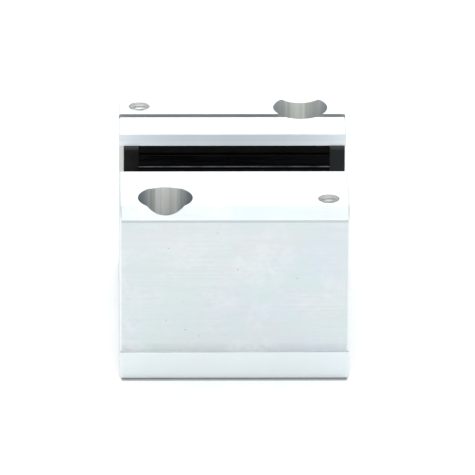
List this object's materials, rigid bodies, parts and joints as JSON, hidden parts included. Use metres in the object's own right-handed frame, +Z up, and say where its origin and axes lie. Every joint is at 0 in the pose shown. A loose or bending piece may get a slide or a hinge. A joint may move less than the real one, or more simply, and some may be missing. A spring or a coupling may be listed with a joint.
{
  "type": "linear guide carriage",
  "caption": "Aluminium linear guide carriage with a rail channel, recirculating ball cassettes under both lips, counterbored fixing holes and reference edges.",
  "frame": {"origin": "centre of the mounting face, at the bottom of the block", "axes": "+X along the rail, +Y across the rail towards the rear, +Z up out of the mounting face"},
  "size_m": [0.064, 0.08, 0.0515],
  "materials": {
    "machined_aluminium": "fine brushed along the rail, clear anodised",
    "hardened_steel": "ground and hardened",
    "spring_wire": "drawn spring wire",
    "black_retainer": "moulded, smooth",
    "black_rubber": "satin",
    "grey_plastic": "moulded, fine grain",
    "natural_plastic": "moulded, translucent white",
    "ball_steel": "polished bearing steel",
    "black_screw": "black oxide"
  },
  "bodies": {
    "carriage": {"housing": "machined_aluminium", "raceway_insert_rear": "hardened_steel", "raceway_insert_front": "hardened_steel", "retainer_upper_rear": "black_retainer", "retainer_upper_front": "black_retainer", "retainer_middle_rear": "black_retainer", "retainer_middle_front": "black_retainer", "retainer_lower_rear": "black_retainer", "retainer_lower_front": "black_retainer", "side_seal_rear": "black_rubber", "side_seal_front": "black_rubber", "retainer_wire_rear": "spring_wire", "retainer_wire_front": "spring_wire", "end_cap_rear_right": "grey_plastic", "end_cap_rear_left": "grey_plastic", "end_cap_front_left": "grey_plastic", "end_cap_front_right": "grey_plastic", "return_tube_rear_upper": "natural_plastic", "return_tube_rear_lower": "natural_plastic", "return_tube_front_upper": "natural_plastic", "return_tube_front_lower": "natural_plastic", "end_cap_screws": "black_screw", "end_cap_dowels": "hardened_steel", "grease_plugs": "black_screw"},
    "load_balls_rear_upper": {"load_balls_rear_upper": "ball_steel"},
    "return_balls_rear_upper": {"return_balls_rear_upper": "ball_steel"},
    "turn_balls_rear_upper_right": {"turn_balls_rear_upper_right": "ball_steel"},
    "turn_balls_rear_upper_left": {"turn_balls_rear_upper_left": "ball_steel"},
    "load_balls_rear_lower": {"load_balls_rear_lower": "ball_steel"},
    "return_balls_rear_lower": {"return_balls_rear_lower": "ball_steel"},
    "turn_balls_rear_lower_right": {"turn_balls_rear_lower_right": "ball_steel"},
    "turn_balls_rear_lower_left": {"turn_balls_rear_lower_left": "ball_steel"},
    "load_balls_front_upper": {"load_balls_front_upper": "ball_steel"},
    "return_balls_front_upper": {"return_balls_front_upper": "ball_steel"},
    "turn_balls_front_upper_right": {"turn_balls_front_upper_right": "ball_steel"},
    "turn_balls_front_upper_left": {"turn_balls_front_upper_left": "ball_steel"},
    "load_balls_front_lower": {"load_balls_front_lower": "ball_steel"},
    "return_balls_front_lower": {"return_balls_front_lower": "ball_steel"},
    "turn_balls_front_lower_right": {"turn_balls_front_lower_right": "ball_steel"},
    "turn_balls_front_lower_left": {"turn_balls_front_lower_left": "ball_steel"}
  },
  "joints": [
    {"name": "load_row_rear_upper", "type": "slide", "parent": "carriage", "child": "load_balls_rear_upper", "axis": [1, 0, 0], "range_m": [-0.00168, 0.00168]},
    {"name": "return_row_rear_upper", "type": "slide", "parent": "carriage", "child": "return_balls_rear_upper", "axis": [1, 0, 0], "range_m": [-0.00168, 0.00168]},
    {"name": "turn_rear_upper_right", "type": "hinge", "parent": "carriage", "child": "turn_balls_rear_upper_right", "pos_m": [0.02733, 0.01474, 0.038], "axis": [0, 0, 1], "range_deg": [-45.1, 45.1]},
    {"name": "turn_rear_upper_left", "type": "hinge", "parent": "carriage", "child": "turn_balls_rear_upper_left", "pos_m": [-0.02643, 0.01474, 0.038], "axis": [0, 0, 1], "range_deg": [-45.1, 45.1]},
    {"name": "load_row_rear_lower", "type": "slide", "parent": "carriage", "child": "load_balls_rear_lower", "axis": [1, 0, 0], "range_m": [-0.00168, 0.00168]},
    {"name": "return_row_rear_lower", "type": "slide", "parent": "carriage", "child": "return_balls_rear_lower", "axis": [1, 0, 0], "range_m": [-0.00168, 0.00168]},
    {"name": "turn_rear_lower_right", "type": "hinge", "parent": "carriage", "child": "turn_balls_rear_lower_right", "pos_m": [0.02733, 0.01474, 0.032], "axis": [0, 0, 1], "range_deg": [-45.1, 45.1]},
    {"name": "turn_rear_lower_left", "type": "hinge", "parent": "carriage", "child": "turn_balls_rear_lower_left", "pos_m": [-0.02643, 0.01474, 0.032], "axis": [0, 0, 1], "range_deg": [-45.1, 45.1]},
    {"name": "load_row_front_upper", "type": "slide", "parent": "carriage", "child": "load_balls_front_upper", "axis": [1, 0, 0], "range_m": [-0.00168, 0.00168]},
    {"name": "return_row_front_upper", "type": "slide", "parent": "carriage", "child": "return_balls_front_upper", "axis": [1, 0, 0], "range_m": [-0.00168, 0.00168]},
    {"name": "turn_front_upper_right", "type": "hinge", "parent": "carriage", "child": "turn_balls_front_upper_right", "pos_m": [0.02643, -0.01474, 0.038], "axis": [0, 0, 1], "range_deg": [-45.1, 45.1]},
    {"name": "turn_front_upper_left", "type": "hinge", "parent": "carriage", "child": "turn_balls_front_upper_left", "pos_m": [-0.02733, -0.01474, 0.038], "axis": [0, 0, 1], "range_deg": [-45.1, 45.1]},
    {"name": "load_row_front_lower", "type": "slide", "parent": "carriage", "child": "load_balls_front_lower", "axis": [1, 0, 0], "range_m": [-0.00168, 0.00168]},
    {"name": "return_row_front_lower", "type": "slide", "parent": "carriage", "child": "return_balls_front_lower", "axis": [1, 0, 0], "range_m": [-0.00168, 0.00168]},
    {"name": "turn_front_lower_right", "type": "hinge", "parent": "carriage", "child": "turn_balls_front_lower_right", "pos_m": [0.02643, -0.01474, 0.032], "axis": [0, 0, 1], "range_deg": [-45.1, 45.1]},
    {"name": "turn_front_lower_left", "type": "hinge", "parent": "carriage", "child": "turn_balls_front_lower_left", "pos_m": [-0.02733, -0.01474, 0.032], "axis": [0, 0, 1], "range_deg": [-45.1, 45.1]}
  ],
  "couplings": [
    {"joint": "return_row_rear_upper", "follows": "load_row_rear_upper", "ratio": -1},
    {"joint": "turn_rear_upper_right", "follows": "load_row_rear_upper", "rad_per_m": 467.5},
    {"joint": "turn_rear_upper_left", "follows": "load_row_rear_upper", "rad_per_m": 467.5},
    {"joint": "return_row_rear_lower", "follows": "load_row_rear_lower", "ratio": -1},
    {"joint": "turn_rear_lower_right", "follows": "load_row_rear_lower", "rad_per_m": 467.5},
    {"joint": "turn_rear_lower_left", "follows": "load_row_rear_lower", "rad_per_m": 467.5},
    {"joint": "return_row_front_upper", "follows": "load_row_front_upper", "ratio": -1},
    {"joint": "turn_front_upper_right", "follows": "load_row_front_upper", "rad_per_m": -467.5},
    {"joint": "turn_front_upper_left", "follows": "load_row_front_upper", "rad_per_m": -467.5},
    {"joint": "return_row_front_lower", "follows": "load_row_front_lower", "ratio": -1},
    {"joint": "turn_front_lower_right", "follows": "load_row_front_lower", "rad_per_m": -467.5},
    {"joint": "turn_front_lower_left", "follows": "load_row_front_lower", "rad_per_m": -467.5}
  ]
}
